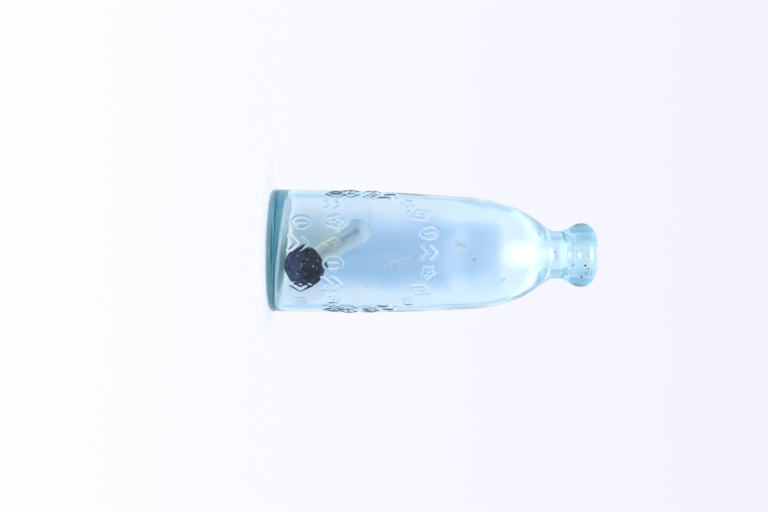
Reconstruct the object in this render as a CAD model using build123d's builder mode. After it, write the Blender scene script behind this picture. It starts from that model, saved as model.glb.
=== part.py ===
from build123d import *
import os
from math import cos, radians, sin, sqrt, tan

# A mould-blown soda bottle with an applied lip, and the stopper that lives loose inside it.
# The stopper is a glass plug with a rubber ball on its lower end. Inverted and poured from, the
# bottle leaves it in the shoulder, where the ball seals the throat. Empty, it lies in the body.
# The bottle stands on its base: +Z runs up its axis and the origin is the centre of the base.
# Lengths are in millimetres and angles in degrees.

# Blown body, outside
body_radius = 33.7
heel_radius = 3.2
side_height = 38.0
neck_radius = 13.0
neck_foot_height = 156.0
neck_length = 10.4
# The shoulder's line between the straight side and the neck, as (height share, radius share)
shoulder_shares = [
    (0.186, 0.981),
    (0.373, 0.935),
    (0.559, 0.872),
    (0.703, 0.786),
    (0.795, 0.646),
    (0.888, 0.390),
    (0.950, 0.133),
]

# Underside
rest_ring_width = 6.0
push_up_depth = 2.2

# Blown body, inside
wall = 3.7
straight_inside_rise = 22.0
throat_drop = 3.0
bore_radius = 8.3
floor_height = 6.4
floor_tilt = 5.2
inside_heel_radius = 2.5

# Applied lip, a blob of glass laid round the neck's end
lip_height = 12.0
lip_skirt = 6.0
lip_radius = 17.5
lip_edge_radius = 1.4
# The blob's outline from its skirt to its crown, as (height share, radius share)
lip_shares = [
    (0.00, 0.12),
    (0.14, 0.62),
    (0.33, 0.92),
    (0.50, 1.00),
    (0.70, 0.88),
    (0.86, 0.40),
]
crown_share = 0.16

# Stopper
ball_radius = 11.9
plug_radius = 7.7
plug_neck_radius = 5.3
plug_reach = 43.0
plug_foot = 7.0
waist_radius = 3.0
knob_radius = 4.4
knob_height = 3.0
plug_fillet = 0.3
ball_foot_radius = 5.2

# How the stopper lies: bearings of its two ends round the axis, and the gap that keeps it free
ball_bearing = 59.0
tip_bearing = 121.0
rest_gap = 0.3

overrun = 5.0

inside_radius = body_radius - wall
straight_inside_height = side_height + straight_inside_rise
throat_height = neck_foot_height - throat_drop
seam_height = neck_foot_height + neck_length
ring_inner_radius = body_radius - heel_radius - rest_ring_width
lip_top = seam_height + lip_height
lip_foot = seam_height - lip_skirt


def shoulder_points(low_height, low_radius, top_height, top_radius):
    """Points of the shoulder's line, spread between its lower and upper ends."""
    rise = top_height - low_height
    spread = low_radius - top_radius
    return [
        (top_radius + across * spread, low_height + up * rise)
        for up, across in shoulder_shares
    ]


# The space inside: straight at the foot, drawn in at the shoulder, a bore through the neck, and a
# floor that the settling glass left tilted. It reaches past the neck's end to cut it open.
with BuildPart() as inside:
    with BuildSketch(Plane.XZ):
        with BuildLine():
            start = (inside_radius, straight_inside_height)
            end = (bore_radius, throat_height)
            Line((0, 0), (inside_radius, 0))
            Line((inside_radius, 0), start)
            Spline(
                start,
                *shoulder_points(straight_inside_height, inside_radius, throat_height, bore_radius),
                end,
                tangents=[(0, 1), (0, 1)],
            )
            Line(end, (bore_radius, seam_height + overrun))
            Line((bore_radius, seam_height + overrun), (0, seam_height + overrun))
            Line((0, seam_height + overrun), (0, 0))
        make_face()
    revolve(axis=Axis.Z)
    floor_normal = (sin(radians(floor_tilt)), 0, cos(radians(floor_tilt)))
    split(bisect_by=Plane(origin=(0, 0, floor_height), z_dir=floor_normal), keep=Keep.TOP)
    floor = inside.faces().sort_by(Axis.Z)[0]
    fillet(floor.edges(), radius=inside_heel_radius)

# Blown body: heel, straight side, shoulder and neck in one glass, on a ring round a push-up
with BuildPart() as bottle_body:
    with BuildSketch(Plane.XZ):
        with BuildLine():
            side_foot = (body_radius, heel_radius)
            side_top = (body_radius, side_height)
            neck_foot = (neck_radius, neck_foot_height)
            ThreePointArc(
                (0, push_up_depth),
                (ring_inner_radius / sqrt(2), push_up_depth / 2),
                (ring_inner_radius, 0),
            )
            Line((ring_inner_radius, 0), (body_radius - heel_radius, 0))
            RadiusArc((body_radius - heel_radius, 0), side_foot, -heel_radius)
            Line(side_foot, side_top)
            Spline(
                side_top,
                *shoulder_points(side_height, body_radius, neck_foot_height, neck_radius),
                neck_foot,
                tangents=[(0, 1), (0, 1)],
            )
            Line(neck_foot, (neck_radius, seam_height))
            Line((neck_radius, seam_height), (0, seam_height))
            Line((0, seam_height), (0, push_up_depth))
        make_face()
    revolve(axis=Axis.Z)
    add(inside.part, mode=Mode.SUBTRACT)
bottle_body.part.label = "bottle_body"

# Applied lip: it wraps the neck's end, closes over it at the seam and rounds into the bore
with BuildPart() as applied_lip:
    with BuildSketch(Plane.XZ):
        with BuildLine():
            lip_rise = lip_top - lip_foot
            lip_spread = lip_radius - neck_radius
            crown_radius = bore_radius + lip_edge_radius + crown_share * lip_spread
            blob = [
                (neck_radius + across * lip_spread, lip_foot + up * lip_rise)
                for up, across in lip_shares
            ]
            bore_edge = (bore_radius, lip_top - lip_edge_radius)
            crown_inner = (bore_radius + lip_edge_radius, lip_top)
            Line((neck_radius, seam_height), (neck_radius, lip_foot))
            Line((neck_radius, lip_foot), blob[0])
            Spline(*blob, (crown_radius, lip_top), tangents=[(1, 1), (-1, 0)])
            Line((crown_radius, lip_top), crown_inner)
            RadiusArc(crown_inner, bore_edge, -lip_edge_radius)
            Line(bore_edge, (bore_radius, seam_height))
            Line((bore_radius, seam_height), (neck_radius, seam_height))
        make_face()
    revolve(axis=Axis.Z)
applied_lip.part.label = "applied_lip"

# Where the stopper lies. The ball touches the floor and the side but for the gap, the plug's
# round end leans on the side further up, and its length sets how high.
ball_out = inside_radius - rest_gap - ball_radius
tip_out = inside_radius - rest_gap - plug_radius
ball_x = ball_out * cos(radians(ball_bearing))
ball_y = ball_out * sin(radians(ball_bearing))
tip_x = tip_out * cos(radians(tip_bearing))
tip_y = tip_out * sin(radians(tip_bearing))
ball_lift = (ball_radius + rest_gap) / cos(radians(floor_tilt))
ball_z = floor_height - ball_x * tan(radians(floor_tilt)) + ball_lift
lean = sqrt((tip_x - ball_x) ** 2 + (tip_y - ball_y) ** 2)
stem_length = plug_reach - plug_radius
ball_foot_depth = sqrt(ball_radius**2 - ball_foot_radius**2)
tip_z = ball_z + sqrt(stem_length**2 - lean**2)
ball_centre = Vector(ball_x, ball_y, ball_z)
stem_direction = (Vector(tip_x, tip_y, tip_z) - ball_centre).normalized()
# The plane that holds the stopper's outline: its Y axis runs from the ball up the plug
across = stem_direction.cross(Vector(0, 0, 1)).normalized()
stopper_plane = Plane(origin=ball_centre, x_dir=across, z_dir=across.cross(stem_direction))
stopper_axis = Axis(ball_centre, stem_direction)

# Glass plug: a round-ended stem, a waist through the ball and a knob that keeps the ball on
with BuildPart() as stopper_plug:
    with BuildSketch(stopper_plane):
        with BuildLine():
            knob_foot = -ball_foot_depth
            knob_top = knob_foot + knob_height
            FilletPolyline(
                (0, knob_foot),
                (knob_radius, knob_foot),
                (knob_radius, knob_top),
                (waist_radius, knob_top),
                (waist_radius, plug_foot),
                (plug_neck_radius, plug_foot),
                (plug_radius, stem_length),
                radius=plug_fillet,
            )
            RadiusArc((plug_radius, stem_length), (0, plug_reach), -plug_radius)
            Line((0, plug_reach), (0, knob_foot))
        make_face()
    revolve(axis=stopper_axis)
stopper_plug.part.label = "stopper_plug"

# Rubber ball: bored to the plug's waist and knob, over which it was stretched, and flat where the
# knob's end comes out
with BuildPart() as stopper_gasket:
    with BuildSketch(stopper_plane):
        with BuildLine():
            ThreePointArc((ball_foot_radius, -ball_foot_depth), (ball_radius, 0), (0, ball_radius))
            Line((0, ball_radius), (0, -ball_foot_depth))
            Line((0, -ball_foot_depth), (ball_foot_radius, -ball_foot_depth))
        make_face()
    revolve(axis=stopper_axis)
    add(stopper_plug.part, mode=Mode.SUBTRACT)
stopper_gasket.part.label = "stopper_gasket"

os.makedirs("parts", exist_ok=True)
export_step(bottle_body.part, "parts/bottle_body.step")
export_step(applied_lip.part, "parts/applied_lip.step")
export_step(stopper_plug.part, "parts/stopper_plug.step")
export_step(stopper_gasket.part, "parts/stopper_gasket.step")
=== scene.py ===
from math import atan2, cos, pi, radians, sin, sqrt, tan

import bpy
import numpy as np
from mathutils import Matrix, Vector


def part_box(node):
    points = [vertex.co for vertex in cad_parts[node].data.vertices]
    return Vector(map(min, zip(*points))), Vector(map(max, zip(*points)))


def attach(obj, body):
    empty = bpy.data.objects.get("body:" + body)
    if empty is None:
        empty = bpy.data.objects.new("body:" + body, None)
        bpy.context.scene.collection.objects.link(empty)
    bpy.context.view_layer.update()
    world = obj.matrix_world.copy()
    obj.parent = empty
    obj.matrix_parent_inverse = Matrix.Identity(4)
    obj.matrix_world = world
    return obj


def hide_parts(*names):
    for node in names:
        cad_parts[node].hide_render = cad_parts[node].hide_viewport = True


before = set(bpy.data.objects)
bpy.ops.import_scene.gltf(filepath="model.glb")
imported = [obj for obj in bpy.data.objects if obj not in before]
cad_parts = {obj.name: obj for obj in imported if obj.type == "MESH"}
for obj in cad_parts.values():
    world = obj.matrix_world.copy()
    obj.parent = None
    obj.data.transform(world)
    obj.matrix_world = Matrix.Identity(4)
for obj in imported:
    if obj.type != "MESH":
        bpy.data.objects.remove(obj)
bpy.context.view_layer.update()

# An aqua soda bottle, mould-blown, with an applied lip and a loose glass and rubber stopper
# inside. It stands on its base with +Z up its axis, and its ornament faces -Y. Lengths are in
# metres. A pair of lengths or heights is where a smooth change starts and where it is full.
MM = 0.001

# Glass, outside: the sizes of the frame's bottle
body_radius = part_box("bottle_body")[1][0]
bottle_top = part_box("applied_lip")[1][2]
heel_radius = 3.2 * MM
side_height = 38.0 * MM
neck_radius = 13.0 * MM
neck_foot_height = 156.0 * MM
# The shoulder as (share of its rise, share of its spread)
shoulder_shares = [
    (0.186, 0.981),
    (0.373, 0.935),
    (0.559, 0.872),
    (0.703, 0.786),
    (0.795, 0.646),
    (0.888, 0.390),
    (0.950, 0.133),
]
rest_ring_width = 6.0 * MM
push_up_depth = 2.2 * MM

# Glass, inside
wall = 3.7 * MM
straight_inside_height = 60.0 * MM
throat_height = 153.0 * MM
bore_radius = 8.3 * MM
floor_height = 6.4 * MM
floor_tilt = radians(5.2)
floor_levels_out = (10 * MM, 30 * MM)
inside_heel_radius = 1.2 * MM
inside_radius = body_radius - wall
pole_radius = 1.2 * MM

# Applied lip, as (share of its height, share of how far it stands out from the neck)
lip_foot = 160.4 * MM
lip_radius = 17.5 * MM
lip_edge_radius = 1.4 * MM
lip_shares = [
    (0.00, 0.05),
    (0.17, 0.40),
    (0.32, 0.74),
    (0.47, 0.96),
    (0.60, 1.00),
    (0.75, 0.87),
    (0.88, 0.48),
]
crown_share = 0.16

# Waves of hand-blown glass, as (turns round it, height of one wave, phase), and where they start:
# by radius, so that the poles stay closed and the neck nearly round, and by height
outer_waves = [(2, 130 * MM, 0.4), (3, -90 * MM, 2.2), (1, 60 * MM, 4.0), (5, 110 * MM, 1.1)]
outer_wave_depth = 0.08 * MM
inner_waves = [
    (3, 50 * MM, 0.9),
    (5, -34 * MM, 2.7),
    (2, 85 * MM, 5.1),
    (7, 120 * MM, 0.2),
    (4, -60 * MM, 3.3),
]
inner_wave_depth = 0.22 * MM
waves_by_radius = (9 * MM, 24 * MM)
waves_above_heel = (1.5 * MM, 5 * MM)
heel_waves = [(9, 11 * MM, 0.3), (13, -8 * MM, 1.7), (17, 6 * MM, 4.1)]
heel_wave_depth = 0.03 * MM
heel_waves_start = (0.3 * MM, 2.5 * MM)
heel_waves_end = (6 * MM, 11 * MM)
lip_waves = [(2, 50 * MM, 1.0), (3, 30 * MM, 3.0), (1, 40 * MM, 0.3)]
lip_wave_depth = 0.30 * MM
lip_waves_rise = 4 * MM
# The side lies this far inside the frame's, so that the ornament stands out only a little past it
side_sink = 0.20 * MM
side_sink_ends = (90 * MM, 110 * MM)

# Seeds, the small voids in the wall: how they are drawn, and the outside radius at some heights
seed_count = 30
seed_draw = 7
seed_rings = 5
seed_columns = 8
seed_sizes = (0.14 * MM, 0.38 * MM)
seed_stretches = (1.0, 2.2)
seed_flatness = 0.8
seed_heights = (16 * MM, 120 * MM)
seed_radii = [(0, 33.6 * MM), (60 * MM, 33.3 * MM), (100 * MM, 31.3 * MM), (120 * MM, 29.4 * MM)]

# Raised ornament, on the side that faces the camera
stroke_flat = 0.4 * MM
stroke_slope = 1.0 * MM
motif_height = 9.6 * MM
motif_width = 7.0 * MM
motif_step = 11.7 * MM
arch_centre_height = 42.0 * MM
arch_radius = 46.0 * MM
arch_motifs = 13
arch_relief = 0.19 * MM
# Straight rows as (middle round the bottle, height, motifs, relief)
rows = [
    (1.0 * MM, 36.2 * MM, 8, 0.20 * MM),
    (7.7 * MM, 18.7 * MM, 5, 0.11 * MM),
]
ornament_low = 12.0 * MM
ornament_top = 94.0 * MM
ornament_reach = radians(95.0)
ornament_crisp = (24 * MM, 44 * MM)

# A fine line left by the glass's flow, which bows away from the front as it drops
flow_top = 84 * MM
flow_length = 26 * MM
flow_side = 1.4 * MM
flow_bow = 8.2 * MM
flow_depth = 0.06 * MM
flow_start = (54 * MM, 60 * MM)
flow_end = (82 * MM, 90 * MM)
flow_edge = (0.1 * MM, 0.9 * MM)

# Stopper: a glass plug through a rubber ball, leaning on the inside of the bottle
ball_radius = 11.9 * MM
plug_radius = 7.7 * MM
plug_neck_radius = 5.3 * MM
plug_reach = 43.0 * MM
plug_foot = 7.0 * MM
waist_radius = 3.0 * MM
knob_radius = 4.4 * MM
knob_height = 3.0 * MM
knob_pole_radius = 0.8 * MM
plug_fillet = 0.3 * MM
plug_cap_share = 0.97
ball_foot_radius = 5.2 * MM
ball_bore_gap = 0.05 * MM
ball_skin = 0.01 * MM
ball_bearing = radians(59.0)
tip_bearing = radians(121.0)
rest_gap = 0.3 * MM

# Rubber: waves over the ball as (turns along X, Y and Z, phase), and dents and cracks as (start,
# end, half width, depth in millimetres), on a ball of radius 1
rubber_lump_depth = 0.08 * MM
rubber_lumps = [
    (5, 3, 7, 0.3),
    (-7, 6, 2, 1.9),
    (11, -4, 9, 4.2),
    (3, 13, -8, 2.5),
    (-15, 9, 12, 0.8),
]
rubber_dents = [
    ((0.62, -0.42, 0.66), (0.62, -0.42, 0.66), 0.24, 1.5),
    ((0.46, -0.88, 0.08), (0.46, -0.88, 0.08), 0.09, 2.0),
    ((0.46, -0.88, 0.08), (0.74, -0.66, 0.14), 0.04, 0.7),
    ((-0.30, -0.93, 0.20), (0.10, -0.95, 0.30), 0.04, 0.4),
    ((0.05, -0.95, -0.25), (-0.20, -0.93, -0.30), 0.08, 0.7),
    ((-0.55, -0.80, 0.10), (-0.35, -0.80, 0.45), 0.05, 0.5),
]

# What lies on the glass, as (middle, half extents, strength), in millimetres. On its inner face:
# rusty stains, a thin brown film, painted shade over the floor and a dull back of the heel
glass_deposits = [
    ((-4.0, -29.5, 34.0), (9.0, 6.0, 9.0), 0.45),
    ((-4.7, -29.0, 103.5), (3.0, 6.0, 4.5), 0.8),
    ((3.5, -28.5, 110.5), (1.8, 6.0, 1.8), 1.0),
    ((7.0, -29.0, 68.0), (2.4, 6.0, 9.0), 0.5),
    ((2.0, -29.5, 80.0), (2.4, 6.0, 8.0), 0.5),
    ((14.2, -24.5, 126.0), (3.0, 6.0, 3.0), 0.9),
]
glass_films = [((-5.0, -29.5, 27.0), (17.0, 12.0, 26.0), 0.9)]
floor_shade_patches = [((0.0, 0.0, 6.4), (29.0, 29.0, 4.5), 6.0)]
back_dust = [((-8.0, 20.0, 8.0), (30.0, 16.0, 3.5), 4.0)]
# On the lip and the neck: specks of grit
lip_grit = [
    ((5.6, -16.0, 170.7), (0.7, 3.0, 0.9), 1.8),
    ((0.5, -16.5, 172.4), (0.6, 3.0, 0.6), 1.6),
    ((7.3, -15.0, 172.5), (0.6, 3.0, 0.55), 1.5),
    ((9.7, -13.5, 171.4), (0.55, 3.0, 0.65), 1.5),
    ((11.8, -12.0, 169.3), (0.8, 3.0, 0.7), 1.8),
    ((-1.3, -16.5, 172.0), (0.45, 3.0, 0.45), 1.3),
    ((2.6, -16.0, 173.8), (0.5, 3.0, 0.45), 1.3),
    ((10.4, -12.0, 174.4), (0.5, 3.0, 0.45), 1.3),
    ((5.6, -16.0, 164.4), (1.2, 3.0, 0.35), 1.5),
    ((-1.4, -13.0, 154.6), (0.5, 3.0, 0.5), 1.5),
]
# On the plug: rust from the rubber
plug_deposits = [
    ((0.0, 13.0, 31.0), (9.0, 12.0, 9.0), 0.8),
    ((-8.0, 11.0, 45.0), (10.0, 9.0, 3.0), 0.5),
]

# Sizes of the patterns: one cloud, one grain of a deposit, one blotch, one cell of the crazing,
# and the specks' spacing and size
cloud_size = 18.18 * MM
deposit_grain = 2.381 * MM
blotch_size = 3.846 * MM
craze_size = 2.381 * MM
craze_depth = 0.4 * MM
speck_pitch = 2.4 * MM
speck_radius = 0.36 * MM
speck_share = 0.5

# How the glass changes over its surface, as (what it changes with, from, to, value before, value
# after). Across is to the right of the ornament, and away is from the camera. The heel highlight
# is a painted highlight: a white line just above the floor, on the front. The seam is where the lip
# was laid on.
heel_highlight_height = 6.9 * MM
seam_height = 164 * MM
glass_changes = {
    "deep": ("height", 3 * MM, 7 * MM, 1.0, 0.0),
    "worn": ("height", 0.0, 5 * MM, 0.10, 0.0),
    "ring": ("height", 0.3 * MM, 1.5 * MM, 0.6, 0.0),
    "cloudy": ("height", 84 * MM, 120 * MM, -0.006, -0.17),
    "clearing": ("height", 124 * MM, 140 * MM, 1.0, 0.5),
    "bore": ("height", 92 * MM, 158 * MM, 0.07, 0.24),
    "mouth": ("height", 150 * MM, 164 * MM, 0.0, 0.2),
    "tooled": ("height", 160 * MM, 166 * MM, 0.0, 0.12),
    # Painted light and shade on the base: the side this marks keeps the deep teal and the floor's
    # painted shade, and the other side is left pale, as if lit
    "shaded_side": ("across", -20 * MM, -4 * MM, 0.0, 1.0),
    "front": ("away", -20 * MM, -8 * MM, 1.0, 0.0),
    "heel_highlight": ("off_heel_highlight", 0.4 * MM, 0.7 * MM, 1.0, 0.0),
    "seam": ("off_seam", 0.2 * MM, 0.9 * MM, 0.35, 0.0),
    "groove": ("off_seam", 0.0, 0.4 * MM, 0.0, 0.08 * MM),
    "haze": ("cloud", 0.35, 0.65, 0.3, 1.0),
}
# The glass's tints, each laid over the ones before
glass_tints = [
    ("film", "#ffeabb"),
    ("seam", "#7fa3cc"),
    ("deep", "#c6e2da"),
    # Painted shade: a darker, duller teal over the inside floor
    ("floor_shade", "#7fa9a8"),
    # Painted highlight: an opaque white line along the inner heel, on the front
    ("heel_highlight", "#ffffff"),
    ("ring", "#eef0ff"),
    ("dirt", "#8a7550"),
    ("grit", "#20242e"),
]

# How the rubber changes, in the same form, and its tints
rubber_changes = {
    "shade": ("blotches", 0.42, 0.68, 0.0, 1.0),
    "patchy": ("blotches", 0.42, 0.68, 0.35, 1.0),
    # Painted light: the ball's low end paler violet, as lit
    "lit_low_end": ("height", 7 * MM, 19 * MM, 0.95, 0.0),
    "shadow": ("height", 17 * MM, 23 * MM, 0.0, 0.85),
    # Painted shade: darker in the dents, the deeper they are sunk
    "dent_shade": ("depth", 0.4 * MM, 1.1 * MM, 0.0, 1.0),
}
rubber_tints = [
    ("shade", "#353056"),
    ("shadow", "#020204"),
    # Painted light on the low end
    ("lit_low_end", "#7f80b4"),
    # Pale specks: partly mineral dust, partly painted glints
    ("specks_and_glints", "#c9c8dc"),
    # Painted shade in the dents
    ("dent_shade", "#020204"),
]

# Floor: a pale sheet just under the base, which fades into the background
floor_drop = 0.3 * MM
floor_reach = 70 * MM
floor_fade_start = 34 * MM
floor_fade_end = 65 * MM

# Room seen through the glass, by the sideways part of the way to it: a cool band straight ahead,
# white beside it, cooler again before the open sides
room_stops = [
    (0.00, "#99c2e9"),
    (0.030, "#a3c6ec"),
    (0.070, "#c0dbfc"),
    (0.12, "#e1efff"),
    (0.22, "#e8f3ff"),
    (0.46, "#e8f3ff"),
    (0.60, "#b4deff"),
    (0.82, "#b8e0ff"),
    (0.97, "#d4e8ff"),
]
# How the room changes with the rising part of the way, as (from, to, value before, value after).
# Above and below the band it opens as if seen further aside, low ways are brighter and steep ones
# brighter still. The backdrop greys towards the mouth's side.
room_rises = {
    "open_up": (0.05, 0.14, 0.0, 0.20),
    "open_down": (-0.088, -0.12, 0.0, 0.20),
    "lifted": (-0.02, 0.06, 0.0, 0.03),
    "below": (-0.30, -0.08, 1.3, 1.0),
    "steep": (0.28, 0.42, 1.0, 1.6),
    "grey": (-0.29, 0.29, 0.0, 1.0),
}
# Soft lights that the glass mirrors, as (way to it, cosine at its edge, strength). The first has
# a brighter middle.
soft_lights = [
    ((0.0, -0.50, 0.87), 0.82, 5.0),
    ((0.0, -0.50, 0.87), 0.95, 12.0),
    ((0.0, -0.50, -0.87), 0.82, 2.0),
    ((0.0, -0.85, -0.53), 0.97, 8.0),
]

# Lamp: a broad soft disc above the mouth's side, which no reflection shows
lamp_place = Vector((-0.35, -0.75, 0.95))
lamp_size = 0.7
lamp_power = 2.5

# Camera: 0.72 m in front of the axis, rolled so that the bottle lies with its mouth to the right
camera_distance = 0.72
image_width = 768
focal_pixels = 1311
image_middle_height = 62.6 * MM
axis_rise_pixels = 4.0
axis_roll = radians(0.93)
light_bounces = 96


def to_linear(hex_colour):
    """An sRGB hex colour as linear RGBA: each channel through the sRGB transfer curve."""
    channels = [int(hex_colour[i:i + 2], 16) / 255 for i in (1, 3, 5)]
    return [c / 12.92 if c <= 0.04045 else ((c + 0.055) / 1.055) ** 2.4 for c in channels] + [1.0]


def add_node(tree, kind, inputs=(), **settings):
    """Adds a node with its settings. Inputs maps a socket to a value or another node's output."""
    node = tree.nodes.new(kind)
    for name, value in settings.items():
        setattr(node, name, value)
    for key, value in dict(inputs).items():
        if isinstance(value, bpy.types.NodeSocket):
            tree.links.new(value, node.inputs[key])
        else:
            node.inputs[key].default_value = value
    return node


def smooth_line(points, count, start_way, end_way):
    """A cubic spline through the points over their chord lengths: its slopes solve the equations of
    equal bending on both sides of each point, with the ways given at both ends. Read at even steps
    of its length."""
    points = np.array(points)
    gaps = np.linalg.norm(np.diff(points, axis=0), axis=1)
    chords = np.r_[0, np.cumsum(gaps)]
    rates = np.diff(points, axis=0) / gaps[:, None]
    before, after = gaps[:-1, None], gaps[1:, None]
    bending = np.eye(len(points))
    inner = np.arange(1, len(points) - 1)
    bending[inner, inner - 1] = gaps[1:]
    bending[inner, inner] = 2 * (gaps[:-1] + gaps[1:])
    bending[inner, inner + 1] = gaps[:-1]
    wanted = np.zeros_like(points)
    wanted[0] = np.array(start_way) / np.linalg.norm(start_way)
    wanted[1:-1] = 3 * (after * rates[:-1] + before * rates[1:])
    wanted[-1] = np.array(end_way) / np.linalg.norm(end_way)
    slopes = np.linalg.solve(bending, wanted)
    at = np.linspace(0, chords[-1], 40 * len(points))
    k = np.clip(np.searchsorted(chords, at, side="right") - 1, 0, len(points) - 2)
    span = gaps[k]
    t = ((at - chords[k]) / span)[:, None]
    span = span[:, None]
    line = (
        (2 * t**3 - 3 * t**2 + 1) * points[k]
        + (t**3 - 2 * t**2 + t) * span * slopes[k]
        + (3 * t**2 - 2 * t**3) * points[k + 1]
        + (t**3 - t**2) * span * slopes[k + 1]
    )
    return even_steps(line, count)


def even_steps(line, count):
    """The polyline read at count points, evenly spaced along its length."""
    run = np.r_[0, np.cumsum(np.linalg.norm(np.diff(line, axis=0), axis=1))]
    at = np.linspace(0, run[-1], count)
    return np.column_stack([np.interp(at, run, line[:, i]) for i in range(line.shape[1])])


def straight(start, end, count):
    """Count points from start to end."""
    return np.linspace(start, end, count)


def arc(centre, radius, first, last, count):
    """Count points on a circle, from the first angle to the last."""
    angle = np.linspace(first, last, count)
    return np.column_stack([centre[0] + radius * np.cos(angle), centre[1] + radius * np.sin(angle)])


def shoulder_line(low, top, count):
    """The shoulder from its low end to its top end, through the shares of its rise and spread."""
    points = [
        (top[0] + across * (low[0] - top[0]), low[1] + up * (top[1] - low[1]))
        for up, across in shoulder_shares
    ]
    return smooth_line([low, *points, top], count, start_way=(0, 1), end_way=(0, 1))


def joined(*stretches):
    """The stretches as one outline, without the points that two stretches share."""
    return np.vstack([stretches[0], *[s[1:] for s in stretches[1:]]])


def steps(low, high, values):
    """A smooth step: 0 below low, 1 above high, the cubic 3t^2 - 2t^3 between."""
    t = np.clip((values - low) / (high - low), 0, 1)
    return t * t * (3 - 2 * t)


def ripple(angle, height, waves):
    """Waves round and along the bottle: the mean of sines of turns times the angle plus the height
    over a wavelength. It lies between -1 and 1."""
    total = 0
    for turns, length, phase in waves:
        total = total + np.sin(turns * angle + 2 * pi * height / length + phase)
    return total / len(waves)


def closed_mesh(rings, low_pole, high_pole):
    """A closed surface from rings of points, shape (rings, columns, 3), and a pole at each end.
    Faces wind so that they point outwards where the rings rise and turn anticlockwise."""
    count, columns = rings.shape[:2]
    index = np.arange(count * columns).reshape(count, columns)
    beside = np.roll(index, -1, axis=1)
    quads = np.stack([index[:-1], beside[:-1], beside[1:], index[1:]], axis=-1).reshape(-1, 4)
    first, last = count * columns, count * columns + 1
    fan_low = np.stack([np.full(columns, first), beside[0], index[0]], axis=-1)
    fan_high = np.stack([index[-1], beside[-1], np.full(columns, last)], axis=-1)
    points = np.vstack([rings.reshape(-1, 3), [low_pole], [high_pole]])
    return points, [*quads.tolist(), *fan_low.tolist(), *fan_high.tolist()]


def make_piece(name, points, faces, body, slot, material, replaced):
    """A smooth-shaded piece that rides on a body and stands for the nodes it replaces."""
    mesh = bpy.data.meshes.new(name)
    mesh.from_pydata(points.tolist(), [], faces)
    mesh.shade_smooth()
    mesh.update()
    piece = bpy.data.objects.new(name, mesh)
    bpy.context.scene.collection.objects.link(piece)
    mesh.materials.append(material)
    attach(piece, body)
    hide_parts(*replaced)
    return piece


def set_measure(piece, name, values):
    """Gives each point of a piece a number that its material reads by name."""
    piece.data.attributes.new(name, "FLOAT", "POINT").data.foreach_set("value", values)


def lozenge(x, y):
    """Distance from the outline of an upright lozenge, or from a pellet at its middle."""
    a, b = motif_width / 2, motif_height / 2
    outline = abs(abs(x) / a + abs(y) / b - 1) * a * b / sqrt(a * a + b * b)
    return np.minimum(outline, np.hypot(x, y))


def leaf(x, y):
    """Distance from an upright leaf: two arcs that meet at its points, and a short midrib."""
    a, b = motif_width / 2, motif_height / 2
    bow = (a * a + b * b) / (2 * a)
    outline = abs(np.hypot(abs(x) + bow - a, y) - bow)
    midrib = np.hypot(x, np.maximum(abs(y) - b / 2, 0))
    return np.minimum(outline, midrib)


def rosette(x, y):
    """Distance from a ring whose radius swells five times round, or from a pellet at its middle."""
    radius = np.hypot(x, y)
    petals = motif_width * (0.46 + 0.10 * np.cos(5 * np.arctan2(x, y)))
    return np.minimum(abs(radius - petals), radius)


def chevrons(x, y):
    """Distance from two nested chevrons that point up the bottle."""
    lean = sqrt(0.5)
    beyond = np.maximum(abs(x) - motif_width / 2, 0)
    middle = (abs(x) + y) * lean
    off = np.minimum(abs(middle - 0.28 * motif_height), abs(middle + 0.12 * motif_height))
    return np.hypot(off, beyond)


def ornament(round_way, height):
    """How far the ornament stands out at each place: an arch and two rows of motifs, each stroke
    flat in its middle with smooth sloping sides, and twice as high at the sides, where the mould
    kept it crisp."""
    places = []
    for k in range(arch_motifs):
        turn = (k - (arch_motifs - 1) / 2) * motif_step / arch_radius
        across, up = arch_radius * sin(turn), arch_centre_height + arch_radius * cos(turn)
        places.append((across, up, turn, arch_relief))
    for middle, up, count, relief in rows:
        for k in range(count):
            places.append((middle + (k - (count - 1) / 2) * motif_step, up, 0.0, relief))
    kinds = [lozenge, leaf, chevrons, rosette]
    out = np.zeros_like(round_way * height)
    for number, (across, up, turn, relief) in enumerate(places):
        x = (round_way - across) * cos(turn) - (height - up) * sin(turn)
        y = (round_way - across) * sin(turn) + (height - up) * cos(turn)
        off = kinds[number % len(kinds)](x, y)
        stroke = 1 - steps(stroke_flat / 2, stroke_flat / 2 + stroke_slope, off)
        out = np.maximum(out, relief * stroke)
    return out * (1 + steps(*ornament_crisp, abs(round_way)))


def flow_line(round_way, height):
    """Depth of a fine line in the glass, left by its flow: a bow whose distance from the front
    grows with the square of the drop below its top, fading out at both ends."""
    drop = (flow_top - height) / flow_length
    off = abs(round_way - flow_side - flow_bow * drop * drop)
    present = steps(*flow_start, height) * (1 - steps(*flow_end, height))
    return flow_depth * present * (1 - steps(*flow_edge, off))


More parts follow.
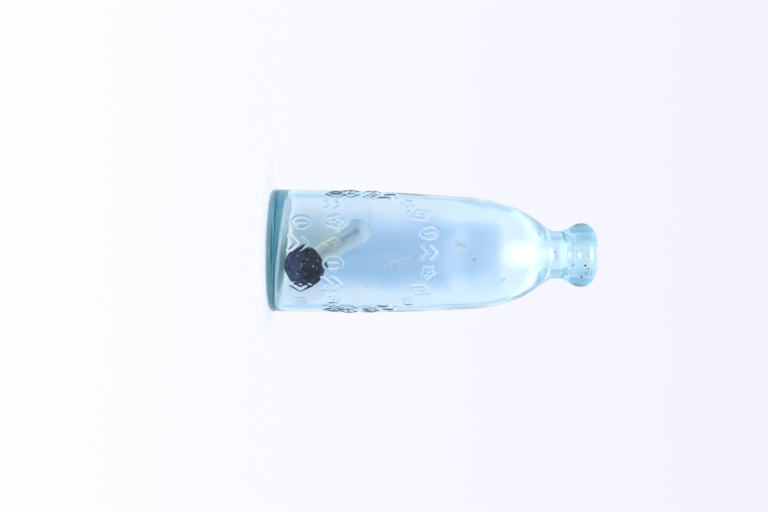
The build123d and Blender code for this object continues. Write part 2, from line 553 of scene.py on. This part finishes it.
def outside_outline():
    """The glass's outside as (radius, height) points, from the push-up to the edge of the bore."""
    ring_inner = body_radius - heel_radius - rest_ring_width
    under_radii = np.linspace(pole_radius, ring_inner, num=9)
    under_heights = push_up_depth * (1 - (under_radii / ring_inner) ** 2)
    underside = np.column_stack([under_radii, under_heights])
    heel = arc((body_radius - heel_radius, heel_radius), heel_radius, -pi / 2, 0, count=8)
    foot = straight((body_radius, heel_radius), (body_radius, ornament_low), count=8)
    side = straight((body_radius, ornament_low), (body_radius, side_height), count=44)
    full = shoulder_line((body_radius, side_height), (neck_radius, neck_foot_height), count=900)
    decked = full[:, 1] <= ornament_top
    shoulder = np.vstack([even_steps(full[decked], count=88), even_steps(full[~decked], count=34)])
    neck = straight((neck_radius, neck_foot_height), (neck_radius, lip_foot), count=4)
    spread, rise = lip_radius - neck_radius, bottle_top - lip_foot
    blob = [(neck_radius + across * spread, lip_foot + up * rise) for up, across in lip_shares]
    crown_radius = bore_radius + lip_edge_radius + crown_share * spread
    lip = smooth_line(
        [*blob, (crown_radius, bottle_top)], count=28, start_way=(1, 1), end_way=(-1, 0))
    edge_middle = (bore_radius + lip_edge_radius, bottle_top - lip_edge_radius)
    mouth = arc(edge_middle, lip_edge_radius, pi / 2, pi, count=6)
    return joined(underside, heel, foot, side, shoulder, neck, lip, mouth)


def inside_outline():
    """The glass's inside as (radius, height) points, from the edge of the bore to the floor."""
    bore = straight(
        (bore_radius, bottle_top - lip_edge_radius), (bore_radius, throat_height), count=7)
    low_end, high_end = (inside_radius, straight_inside_height), (bore_radius, throat_height)
    shoulder = shoulder_line(low_end, high_end, count=36)[::-1]
    heel_top = floor_height + inside_heel_radius
    side = straight(low_end, (inside_radius, heel_top), count=9)
    floor_radius = inside_radius - inside_heel_radius
    heel = arc((floor_radius, heel_top), inside_heel_radius, 0, -pi / 2, count=6)
    floor = straight((floor_radius, floor_height), (pole_radius, floor_height), count=9)
    return joined(bore, shoulder, side, heel, floor)


def bottle_columns():
    """Angles round the bottle from the front, closer together where the ornament is."""
    front = np.linspace(-ornament_reach, ornament_reach, num=300)
    back = np.linspace(ornament_reach, 2 * pi - ornament_reach, num=42)[1:-1]
    return np.r_[front, back]


def bottle_points():
    """The glass's surface: the outline turned about the axis, the ornament added to the outside,
    the floor tilted, and the slow waves of hand-blown glass on both faces."""
    outside = outside_outline()
    line = joined(outside, inside_outline())
    inner = (np.arange(len(line)) >= len(outside))[:, None]
    angle = bottle_columns()[None, :]
    radius = np.repeat(line[:, :1], angle.size, axis=1)
    height = np.repeat(line[:, 1:], angle.size, axis=1)
    round_way = body_radius * np.where(angle > pi, angle - 2 * pi, angle)
    relief = ornament(round_way, height) - flow_line(round_way, height)
    on_side = (~inner) & (height > ornament_low) & (height < ornament_top)
    radius = radius + np.where(on_side, relief, 0)

    wide = steps(*waves_by_radius, radius)
    waves = outer_wave_depth * ripple(angle, height, outer_waves)
    sink = side_sink * (1 - steps(*side_sink_ends, height))
    above_heel = steps(*waves_above_heel, height)
    radius = radius + np.where(inner, 0, (waves - sink) * wide * above_heel)
    near_heel = steps(*heel_waves_start, height) * (1 - steps(*heel_waves_end, height))
    chatter = heel_wave_depth * (ripple(angle, height, heel_waves) - 1)
    radius = radius + np.where(inner, 0, chatter * wide * near_heel)
    swell = inner_wave_depth * (1 + ripple(angle, height, inner_waves))
    radius = radius + np.where(inner, swell * wide, 0)
    on_lip = steps(lip_foot, lip_foot + lip_waves_rise, height)
    on_lip = on_lip * steps(bore_radius, lip_radius, radius)
    lip_wave = lip_wave_depth * ripple(angle, height, lip_waves)
    radius = radius + np.where(inner, 0, lip_wave * on_lip)

    across, away = radius * np.sin(angle), -radius * np.cos(angle)
    tilted = 1 - steps(*floor_levels_out, height)
    height = height - np.where(inner, across * tan(floor_tilt) * tilted, 0)
    return np.stack([across, away, height], axis=-1), inner


def seeds(count, random):
    """Small closed voids within the wall: stretched spheres, wound so that they face inwards."""
    polar = np.linspace(0, pi, seed_rings + 2)[1:-1, None]
    turn = np.linspace(0, 2 * pi, seed_columns, endpoint=False)[None, :]
    sphere = np.stack([
        np.sin(polar) * np.cos(turn),
        np.sin(polar) * np.sin(turn),
        -np.cos(polar) * np.ones_like(turn),
    ], axis=-1)
    all_points, all_faces, offset = [], [], 0
    for _ in range(count):
        size = random.uniform(*seed_sizes)
        stretch = random.uniform(*seed_stretches)
        up = random.uniform(*seed_heights)
        bearing = random.uniform(-pi, pi)
        out = np.interp(up, *zip(*seed_radii)) - wall / 2
        local = sphere * np.array([size, size * seed_flatness, size * stretch])
        pole = np.array([0, 0, size * stretch])
        centre = np.array([out * sin(bearing), -out * cos(bearing), up])
        points, faces = closed_mesh(local + centre, centre - pole, centre + pole)
        all_points.append(points)
        all_faces += [[offset + i for i in reversed(face)] for face in faces]
        offset += len(points)
    return np.vstack(all_points), all_faces


def stopper_frame():
    """Where the stopper lies: its ball's centre and the three ways of its own frame, from the
    gaps it keeps to the floor and the side."""
    ball_out = inside_radius - rest_gap - ball_radius
    tip_out = inside_radius - rest_gap - plug_radius
    ball = np.array([ball_out * cos(ball_bearing), ball_out * sin(ball_bearing), 0])
    tip = np.array([tip_out * cos(tip_bearing), tip_out * sin(tip_bearing), 0])
    ball[2] = floor_height - ball[0] * tan(floor_tilt) + (ball_radius + rest_gap) / cos(floor_tilt)
    lean = np.linalg.norm((tip - ball)[:2])
    tip[2] = ball[2] + sqrt((plug_reach - plug_radius) ** 2 - lean**2)
    along = (tip - ball) / np.linalg.norm(tip - ball)
    across = np.cross(along, [0, 0, 1])
    across = across / np.linalg.norm(across)
    return ball, across, np.cross(along, across), along


def turned(line, columns):
    """An outline of (radius, height) points turned about the stopper's axis, in the model."""
    ball, across, away, along = stopper_frame()
    turn = np.linspace(0, 2 * pi, columns, endpoint=False)[None, :, None]
    radius, height = line[:, :1, None], line[:, 1:, None]
    rings = radius * (np.cos(turn) * across + np.sin(turn) * away) + height * along
    return rings + ball


def plug_points():
    """The glass plug: knob, waist, and a stem that widens to its round end."""
    ball, _, _, along = stopper_frame()
    foot = -sqrt(ball_radius**2 - ball_foot_radius**2)
    knob_top = foot + knob_height
    stem = plug_reach - plug_radius
    soft = plug_fillet
    knob = smooth_line([
        (knob_pole_radius, foot), (knob_radius - soft, foot), (knob_radius, foot + soft),
        (knob_radius, knob_top - soft), (waist_radius + soft, knob_top),
        (waist_radius, knob_top + soft),
    ], count=40, start_way=(1, 0), end_way=(0, 1))
    waist = straight((waist_radius, knob_top + soft), (waist_radius, plug_foot - soft), count=6)
    seat = smooth_line([
        (waist_radius, plug_foot - soft), (waist_radius + soft, plug_foot),
        (plug_neck_radius - soft, plug_foot), (plug_neck_radius, plug_foot + soft),
    ], count=16, start_way=(0, 1), end_way=(0, 1))
    shaft = straight((plug_neck_radius, plug_foot + soft), (plug_radius, stem), count=30)
    end = arc((0, stem), plug_radius, 0, pi / 2 * plug_cap_share, count=20)
    rings = turned(joined(knob, waist, seat, shaft, end), columns=96)
    return closed_mesh(rings, ball + foot * along, ball + plug_reach * along)


def ball_points():
    """The rubber ball: a sphere with sunk lumps, dents, cracks and a chipped edge, bored for the
    plug. Its rings run round the outside from the foot to the collar and back down the bore. With
    the points and faces comes how deep each point is sunk."""
    ball = stopper_frame()[0]
    foot = sqrt(ball_radius**2 - ball_foot_radius**2)
    collar_angle = atan2(sqrt(ball_radius**2 - plug_neck_radius**2), plug_neck_radius)
    outer = arc((0, 0), ball_radius, -atan2(foot, ball_foot_radius), collar_angle, count=170)
    clear = ball_bore_gap
    bore = np.array([
        (plug_neck_radius + clear, plug_foot + plug_fillet),
        (waist_radius + clear, plug_foot - clear),
        (waist_radius + clear, knob_height - foot + clear),
        (knob_radius + clear, knob_height - foot - plug_fillet),
        (knob_radius + clear, -foot),
    ])
    line = np.vstack([outer, bore])
    rings = turned(line, columns=240)
    below = np.arange(rings.shape[0] * rings.shape[1]).reshape(rings.shape[:2])
    above = np.roll(below, -1, axis=0)
    beside, above_beside = np.roll(below, -1, axis=1), np.roll(above, -1, axis=1)
    quads = np.stack([below, beside, above_beside, above], axis=-1)
    points = rings.reshape(-1, 3)
    way = points - ball
    distance = np.linalg.norm(way, axis=1, keepdims=True)
    way = way / distance
    outside = distance > ball_radius - ball_skin
    lumps = 0
    for turns in rubber_lumps:
        lumps = lumps + np.sin(way @ np.array(turns[:3]) + turns[3]) / len(rubber_lumps)
    sunk = rubber_lump_depth * (1 + lumps[:, None])
    for start, end, spread, depth in rubber_dents:
        start, run = np.array(start), np.array(end) - np.array(start)
        share = np.clip((way - start) @ run / max(run @ run, 1e-9), 0, 1)[:, None]
        off = np.linalg.norm(way - start - share * run, axis=1, keepdims=True)
        sunk = sunk + depth * MM * np.exp(-((off / spread) ** 2))
    sunk = np.where(outside, sunk, 0)
    return points - sunk * way, quads.reshape(-1, 4).tolist(), sunk.ravel()


def new_tree(name):
    """A new material with an empty node tree."""
    material = bpy.data.materials.new(name)
    material.use_nodes = True
    material.node_tree.nodes.clear()
    return material, material.node_tree


def cover(tree, place, patches):
    """How far patches cover each place: for each its strength at the middle, none beyond its
    reach."""
    total = 0.0
    for middle, reach, strength in patches:
        off = add_node(tree, "ShaderNodeVectorMath", {
            0: place, 1: [m * MM for m in middle]}, operation="SUBTRACT").outputs[0]
        share = add_node(tree, "ShaderNodeVectorMath", {
            0: off, 1: [r * MM for r in reach]}, operation="DIVIDE").outputs[0]
        far = add_node(tree, "ShaderNodeVectorMath", {0: share}, operation="LENGTH")
        patch = add_node(tree, "ShaderNodeMapRange", {
            0: far.outputs["Value"], 1: 0.1, 2: 1.0, 3: strength, 4: 0.0})
        total = add_node(tree, "ShaderNodeMath", {
            0: total, 1: patch.outputs[0]}, operation="MAXIMUM").outputs[0]
    return total


def deposit(tree, place, patches):
    """How much old deposit lies at each place: the patches' cover, broken up by noise."""
    ragged = add_node(tree, "ShaderNodeTexNoise", {
        "Vector": place, "Scale": 1 / deposit_grain, "Detail": 6.0})
    broken = add_node(tree, "ShaderNodeMapRange", {
        0: ragged.outputs["Fac"], 1: 0.38, 2: 0.62, 3: 0.0, 4: 1.0})
    return add_node(tree, "ShaderNodeMath", {
        0: cover(tree, place, patches), 1: broken.outputs[0]}, operation="MULTIPLY").outputs[0]


def specks_and_glints(tree, place):
    """Round specks: 1 within the radius of a cell's middle, in the given share of the cells."""
    cells = add_node(tree, "ShaderNodeTexVoronoi", {"Vector": place, "Scale": 1 / speck_pitch})
    kind = add_node(tree, "ShaderNodeSeparateColor", {0: cells.outputs["Color"]})
    near = add_node(tree, "ShaderNodeMath", {
        0: cells.outputs["Distance"], 1: speck_radius / speck_pitch}, operation="LESS_THAN")
    chosen = add_node(tree, "ShaderNodeMath", {
        0: kind.outputs[0], 1: speck_share}, operation="LESS_THAN")
    return add_node(tree, "ShaderNodeMath", {
        0: near.outputs[0], 1: chosen.outputs[0]}, operation="MULTIPLY").outputs[0]


def distance_from(tree, height, line_height):
    """How far a height is from a line's height, above or below it."""
    off = add_node(tree, "ShaderNodeMath", {
        0: height, 1: line_height}, operation="SUBTRACT").outputs[0]
    return add_node(tree, "ShaderNodeMath", {0: off}, operation="ABSOLUTE").outputs[0]


def end_glass(tree, surface, shadow_tint, depth_tint, density):
    """Ends a glass: its surface, clear to shadows' rays so that light passes, and a tint that
    deepens with the glass's thickness."""
    clear = add_node(tree, "ShaderNodeBsdfTransparent", {"Color": to_linear(shadow_tint)})
    path = add_node(tree, "ShaderNodeLightPath")
    pane = add_node(tree, "ShaderNodeMixShader", {
        0: path.outputs["Is Shadow Ray"], 1: surface.outputs[0], 2: clear.outputs[0]})
    depth = add_node(tree, "ShaderNodeVolumeAbsorption", {
        "Color": to_linear(depth_tint), "Density": density})
    add_node(tree, "ShaderNodeOutputMaterial", {
        "Surface": pane.outputs[0], "Volume": depth.outputs[0]})


# Soda-lime glass, blown in a mould and fire polished: its aqua cast deepens with the thickness of
# glass, so the base is teal and the thin side pale. A clouded, stained inner face softens it, the
# heel is scuffed from standing, and the tooled lip is a little rough.
# Painted on it: a white highlight along the inner heel, and darker teal shade over the inside floor
# and one side of the base
def aqua_glass():
    """Aqua blown glass with clouding and deposits on its inner face."""
    material, tree = new_tree("aqua_soda_lime_glass")
    place = add_node(tree, "ShaderNodeTexCoord").outputs["Object"]
    across, away, height = add_node(tree, "ShaderNodeSeparateXYZ", {0: place}).outputs
    above_floor = add_node(tree, "ShaderNodeMath", {
        0: across, 1: tan(floor_tilt), 2: height}, operation="MULTIPLY_ADD").outputs[0]
    cloud = add_node(tree, "ShaderNodeTexNoise", {
        "Vector": place, "Scale": 1 / cloud_size, "Detail": 4.0}).outputs["Fac"]
    measures = {
        "height": height,
        "across": across,
        "away": away,
        "cloud": cloud,
        "off_heel_highlight": distance_from(tree, above_floor, heel_highlight_height),
        "off_seam": distance_from(tree, height, seam_height),
    }
    share = {
        name: add_node(tree, "ShaderNodeMapRange", {
            0: measures[measure], 1: start, 2: end, 3: before, 4: after}).outputs[0]
        for name, (measure, start, end, before, after) in glass_changes.items()
    }
    share["inside"] = add_node(
        tree, "ShaderNodeAttribute", attribute_name="inner_wall").outputs["Fac"]
    share["stain"] = deposit(tree, place, glass_deposits)
    share["film"] = cover(tree, place, glass_films)
    for name, patches in [("grit", lip_grit), ("floor_shade", floor_shade_patches), ("dull", back_dust)]:
        share[name] = add_node(tree, "ShaderNodeClamp", {
            "Value": cover(tree, place, patches)}).outputs[0]

    # Each of these is kept to where its limit is, most of them to the inner face, and the next two
    # to where their gap isn't
    for name, limit in [
        ("deep", "shaded_side"), ("heel_highlight", "front"), ("cloudy", "clearing"), ("haze", "inside"),
        ("stain", "inside"), ("film", "inside"), ("floor_shade", "inside"), ("floor_shade", "shaded_side"),
        ("dull", "inside"), ("mouth", "inside"),
    ]:
        share[name] = add_node(tree, "ShaderNodeMath", {
            0: share[name], 1: share[limit]}, operation="MULTIPLY").outputs[0]
    for name, gap in [("deep", "heel_highlight"), ("seam", "inside")]:
        share[name] = add_node(tree, "ShaderNodeMix", {
            0: share[gap], 2: share[name], 3: 0.0}).outputs[0]
    share["heel_highlight"] = add_node(tree, "ShaderNodeMath", {
        0: share["heel_highlight"], 1: share["inside"]}, operation="MULTIPLY").outputs[0]
    share["dirt"] = add_node(tree, "ShaderNodeMath", {
        0: share["stain"], 1: share["grit"]}, operation="MAXIMUM").outputs[0]

    colour, rough, clear = to_linear("#ffffff"), share["worn"], 1.0
    for name, tint in glass_tints:
        colour = add_node(tree, "ShaderNodeMix", {
            0: share[name], 6: colour, 7: to_linear(tint)}, data_type="RGBA").outputs[2]
    for name, added in [
        ("haze", share["bore"]), ("dirt", 0.3), ("floor_shade", 0.35), ("dull", 0.5), ("ring", 0.6),
        ("tooled", 1.0),
    ]:
        rough = add_node(tree, "ShaderNodeMath", {
            0: share[name], 1: added, 2: rough}, operation="MULTIPLY_ADD").outputs[0]
    for name, added in [
        ("haze", share["cloudy"]), ("worn", -1.6), ("ring", -1.0), ("mouth", -1.0), ("heel_highlight", -1.0),
        ("floor_shade", -0.5), ("stain", -0.4), ("grit", -1.0),
    ]:
        clear = add_node(tree, "ShaderNodeMath", {
            0: share[name], 1: added, 2: clear}, operation="MULTIPLY_ADD").outputs[0]
    passing = add_node(tree, "ShaderNodeClamp", {"Value": clear}).outputs[0]
    seam_dent = add_node(tree, "ShaderNodeBump", {
        "Height": share["groove"], "Strength": 1.0, "Distance": 1.0}).outputs[0]
    surface = add_node(tree, "ShaderNodeBsdfPrincipled", {
        "Base Color": colour, "Roughness": rough, "IOR": 1.52, "Transmission Weight": passing,
        "Normal": seam_dent})
    end_glass(tree, surface, shadow_tint="#e9f4fb", depth_tint="#b5dee5", density=50.0)
    return material


# Pressed clear glass, a little bluer than water, with rusty stains where it leaves the rubber. It
# bends light less than real glass does, so that the plug is as faint as in the real bottle.
def clear_glass():
    """Clear pressed glass of the plug, stained near the rubber."""
    material, tree = new_tree("clear_pressed_glass")
    place = add_node(tree, "ShaderNodeTexCoord").outputs["Object"]
    dirt = deposit(tree, place, plug_deposits)
    colour = add_node(tree, "ShaderNodeMix", {
        0: dirt, 6: to_linear("#ccd6dd"), 7: to_linear("#b0a795")}, data_type="RGBA").outputs[2]
    rough, passing = [
        add_node(tree, "ShaderNodeMath", {
            0: dirt, 1: added, 2: clean}, operation="MULTIPLY_ADD").outputs[0]
        for clean, added in ((0.10, 0.3), (1.0, -0.35))
    ]
    surface = add_node(tree, "ShaderNodeBsdfPrincipled", {
        "Base Color": colour, "Roughness": rough, "IOR": 1.30, "Transmission Weight": passing})
    end_glass(tree, surface, shadow_tint="#eef6fb", depth_tint="#b3d7e2", density=16.0)
    return material


# Vulcanised rubber, moulded and long perished: nearly black with a violet cast, matt and crazed,
# with pale specks, partly mineral dust and partly painted glints. Its low end is painted pale
# violet as lit, and its high end and its dents are painted dark as shade. The crazing is drawn
# coarser than the real.
def aged_rubber():
    """Perished black rubber with a dull face."""
    material, tree = new_tree("perished_black_rubber")
    place = add_node(tree, "ShaderNodeTexCoord").outputs["Object"]
    blotches = add_node(tree, "ShaderNodeTexNoise", {
        "Vector": place, "Scale": 1 / blotch_size, "Detail": 6.0, "Roughness": 0.6})
    depth = add_node(tree, "ShaderNodeAttribute", attribute_name="sunk_depth")
    measures = {
        "blotches": blotches.outputs["Fac"],
        "depth": depth.outputs["Fac"],
        "height": add_node(tree, "ShaderNodeSeparateXYZ", {0: place}).outputs[2],
    }
    share = {
        name: add_node(tree, "ShaderNodeMapRange", {
            0: measures[measure], 1: start, 2: end, 3: before, 4: after}).outputs[0]
        for name, (measure, start, end, before, after) in rubber_changes.items()
    }
    share["lit_low_end"] = add_node(tree, "ShaderNodeMath", {
        0: share["lit_low_end"], 1: share["patchy"]}, operation="MULTIPLY").outputs[0]
    # Pale specks, partly dust and partly painted glints
    share["specks_and_glints"] = specks_and_glints(tree, place)
    colour = to_linear("#06050d")
    for name, tint in rubber_tints:
        colour = add_node(tree, "ShaderNodeMix", {
            0: share[name], 6: colour, 7: to_linear(tint)}, data_type="RGBA").outputs[2]
    crazing = add_node(tree, "ShaderNodeTexVoronoi", {
        "Vector": place, "Scale": 1 / craze_size}, feature="DISTANCE_TO_EDGE")
    bump = add_node(tree, "ShaderNodeBump", {
        "Height": crazing.outputs["Distance"], "Strength": 0.5, "Distance": craze_depth})
    surface = add_node(tree, "ShaderNodeBsdfPrincipled", {
        "Base Color": colour, "Roughness": 0.5, "Specular IOR Level": 0.05,
        "Normal": bump.outputs[0]})
    add_node(tree, "ShaderNodeOutputMaterial", {"Surface": surface.outputs[0]})
    return material


# Matt white paper, which thins out to nothing before the sheet's edge
def white_paper():
    """Paper of the floor, faded by the distance from the bottle's axis."""
    material, tree = new_tree("white_paper")
    place = add_node(tree, "ShaderNodeTexCoord").outputs["Object"]
    far = add_node(tree, "ShaderNodeVectorMath", {0: place}, operation="LENGTH").outputs["Value"]
    fade = add_node(tree, "ShaderNodeMapRange", {
        0: far, 1: floor_fade_start, 2: floor_fade_end, 3: 0.6, 4: 1.0},
        interpolation_type="SMOOTHSTEP")
    sheet = add_node(tree, "ShaderNodeBsdfDiffuse", {"Color": to_linear("#f6f7fb")})
    nothing = add_node(tree, "ShaderNodeBsdfTransparent")
    faded = add_node(tree, "ShaderNodeMixShader", {
        0: fade.outputs[0], 1: sheet.outputs[0], 2: nothing.outputs[0]})
    add_node(tree, "ShaderNodeOutputMaterial", {"Surface": faded.outputs[0]})
    return material


def make_bottle():
    """The bottle's glass with its seeds, and which of its points lie on the inner face."""
    rings, inner = bottle_points()
    points, faces = closed_mesh(rings, (0, 0, push_up_depth), (0, 0, floor_height))
    seed_points, seed_faces = seeds(seed_count, np.random.default_rng(seed_draw))
    faces += [[len(points) + i for i in face] for face in seed_faces]
    bottle = make_piece(
        "bottle_glass", np.vstack([points, seed_points]), faces, "bottle", "aqua_glass",
        aqua_glass(), ["bottle_body", "applied_lip"])
    on_inner_wall = np.zeros(len(points) + len(seed_points))
    on_inner_wall[:len(points) - 2] = np.broadcast_to(inner, rings.shape[:2]).ravel()
    on_inner_wall[len(points) - 1] = 1
    set_measure(bottle, "inner_wall", on_inner_wall)


def make_stopper():
    """The stopper's glass plug and its rubber ball."""
    make_piece("stopper_plug_glass", *plug_points(), "stopper", "clear_glass", clear_glass(),
               ["stopper_plug"])
    points, faces, sunk = ball_points()
    ball = make_piece("stopper_ball_rubber", points, faces, "stopper", "aged_rubber",
                      aged_rubber(), ["stopper_gasket"])
    set_measure(ball, "sunk_depth", sunk)


def make_floor():
    """A square sheet under the base."""
    mesh = bpy.data.meshes.new("floor")
    corners = [(-1, -1), (1, -1), (1, 1), (-1, 1)]
    mesh.from_pydata(
        [(x * floor_reach, y * floor_reach, -floor_drop) for x, y in corners], [], [(0, 1, 2, 3)])
    mesh.materials.append(white_paper())
    floor = bpy.data.objects.new("floor", mesh)
    bpy.context.scene.collection.objects.link(floor)


def make_studio():
    """The world, by the kind of ray. The camera sees a pale backdrop. Through glass the room is
    white with a cooler band straight ahead. In reflection it is a dim room with soft lights."""
    world = bpy.data.worlds.new("studio")
    bpy.context.scene.world = world
    world.use_nodes = True
    tree = world.node_tree
    tree.nodes.clear()
    way = add_node(tree, "ShaderNodeTexCoord").outputs["Generated"]
    across, away, rise = add_node(tree, "ShaderNodeSeparateXYZ", {0: way}).outputs
    by_rise = {
        name: add_node(tree, "ShaderNodeMapRange", {
            0: rise, 1: start, 2: end, 3: before, 4: after}).outputs[0]
        for name, (start, end, before, after) in room_rises.items()
    }

    # Seen through the glass: bands by the sideways part of the way, dimmer on the camera's side
    off_axis = add_node(tree, "ShaderNodeMath", {0: across}, operation="ABSOLUTE").outputs[0]
    for name in ("open_up", "open_down", "lifted"):
        off_axis = add_node(tree, "ShaderNodeMath", {
            0: off_axis, 1: by_rise[name]}, operation="MAXIMUM").outputs[0]
    ramp = add_node(tree, "ShaderNodeValToRGB", {0: off_axis})
    stops = ramp.color_ramp.elements
    while len(stops) < len(room_stops):
        stops.new(1.0)
    for stop, (position, colour) in zip(stops, room_stops):
        stop.position = position
        stop.color = to_linear(colour)
    level = add_node(tree, "ShaderNodeMapRange", {0: away, 1: -0.9, 2: -0.3, 3: 0.85, 4: 1.05},
                     interpolation_type="SMOOTHSTEP").outputs[0]
    for name in ("below", "steep"):
        level = add_node(tree, "ShaderNodeMath", {
            0: level, 1: by_rise[name]}, operation="MULTIPLY").outputs[0]
    through = add_node(tree, "ShaderNodeVectorMath", {
        0: ramp.outputs[0], 1: level}, operation="MULTIPLY").outputs[0]

    # Mirrored by the glass: a dim room, pale beyond the bottle, and its lights
    beyond = add_node(tree, "ShaderNodeMapRange", {0: away, 1: -0.3, 2: 0.4, 3: 0.0, 4: 1.0})
    mirrored = add_node(tree, "ShaderNodeMix", {
        0: beyond.outputs[0], 6: to_linear("#66749c"), 7: to_linear("#f0f6ff")},
        data_type="RGBA").outputs[2]
    for aim, edge, strength in soft_lights:
        facing = add_node(tree, "ShaderNodeVectorMath", {
            0: way, 1: aim}, operation="DOT_PRODUCT").outputs["Value"]
        glow = add_node(tree, "ShaderNodeMapRange", {
            0: facing, 1: edge, 2: 1.0, 3: 0.0, 4: strength},
            interpolation_type="SMOOTHSTEP").outputs[0]
        mirrored = add_node(tree, "ShaderNodeVectorMath", {
            0: mirrored, 1: glow}, operation="ADD").outputs[0]

    # Behind the bottle, and then each kind of ray's own part
    backdrop = add_node(tree, "ShaderNodeMix", {
        0: by_rise["grey"], 6: to_linear("#fefeff"), 7: to_linear("#f2f3fe")},
        data_type="RGBA").outputs[2]
    ray_kinds = add_node(tree, "ShaderNodeLightPath").outputs
    seen = to_linear("#f4f7ff")
    for ray, colour in [
        ("Is Glossy Ray", mirrored), ("Is Transmission Ray", through), ("Is Camera Ray", backdrop),
    ]:
        seen = add_node(tree, "ShaderNodeMix", {
            0: ray_kinds[ray], 6: seen, 7: colour}, data_type="RGBA").outputs[2]
    sky = add_node(tree, "ShaderNodeBackground", {"Color": seen, "Strength": 1.0})
    add_node(tree, "ShaderNodeOutputWorld", {"Surface": sky.outputs[0]})


def make_lamp():
    """The soft disc of light, aimed at the bottle's middle."""
    lamp = bpy.data.lights.new("softbox", "AREA")
    lamp.shape = "DISK"
    lamp.size = lamp_size
    lamp.energy = lamp_power
    softbox = bpy.data.objects.new("softbox", lamp)
    bpy.context.scene.collection.objects.link(softbox)
    aim = Vector((0, 0, bottle_top / 2))
    softbox.location = lamp_place
    softbox.rotation_euler = (aim - lamp_place).to_track_quat("-Z", "Y").to_euler()
    softbox.visible_glossy = False
    softbox.visible_transmission = False


def make_camera():
    """The camera, level with the bottle's side, with the bottle's axis almost along the image."""
    camera_data = bpy.data.cameras.new("camera")
    camera_data.lens = focal_pixels / image_width * camera_data.sensor_width
    camera = bpy.data.objects.new("camera", camera_data)
    bpy.context.scene.collection.objects.link(camera)
    bpy.context.scene.camera = camera
    right = (-sin(axis_roll), 0, cos(axis_roll))
    up = (-cos(axis_roll), 0, -sin(axis_roll))
    back = (0, -1, 0)
    sideways = axis_rise_pixels * camera_distance / focal_pixels
    place = (sideways, -camera_distance, image_middle_height)
    camera.matrix_world = Matrix([*zip(right, up, back, place), (0, 0, 0, 1)])


make_bottle()
make_stopper()
make_floor()
make_studio()
make_lamp()
make_camera()

scene = bpy.context.scene
scene.view_settings.view_transform = "Standard"
for kind in ("max_bounces", "glossy_bounces", "transmission_bounces", "transparent_max_bounces"):
    setattr(scene.cycles, kind, light_bounces)
